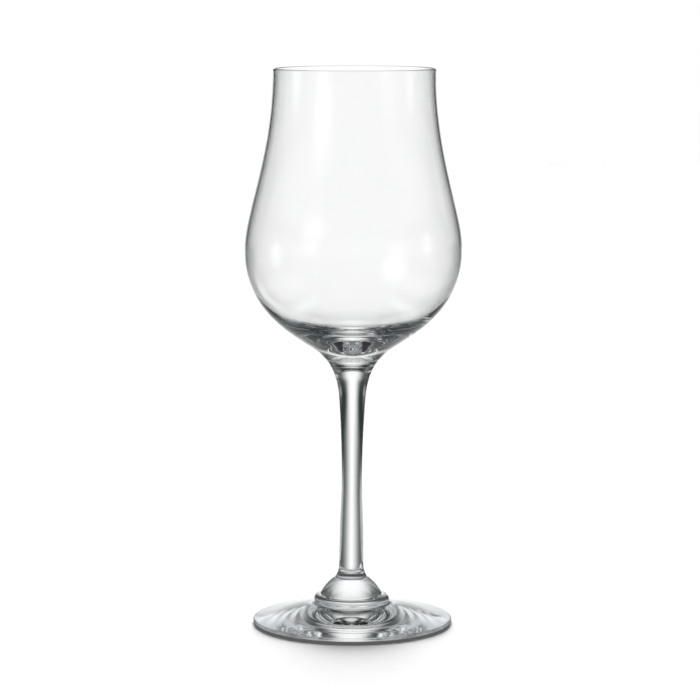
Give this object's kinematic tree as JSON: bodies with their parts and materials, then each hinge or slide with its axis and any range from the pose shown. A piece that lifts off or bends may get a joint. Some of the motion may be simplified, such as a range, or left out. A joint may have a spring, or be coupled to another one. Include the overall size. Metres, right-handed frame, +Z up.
{
  "type": "tulip wine glass",
  "caption": "Clear stemmed drinking glass: tulip bowl with a full belly and drawn-in rim, drawn stem, domed knop on a rounded collar, and a shallow conical foot.",
  "frame": {"origin": "on the glass's axis, in the plane of the ring that the foot stands on", "axes": "+Z up the axis from the foot to the rim; X and Y are free, because the glass is round"},
  "size_m": [0.0916, 0.0916, 0.235],
  "materials": {
    "clear_glass": "clear, fire-polished"
  },
  "bodies": {
    "root": {"bowl": "clear_glass", "stem": "clear_glass", "knop": "clear_glass", "collar": "clear_glass", "foot": "clear_glass"}
  },
  "joints": []
}
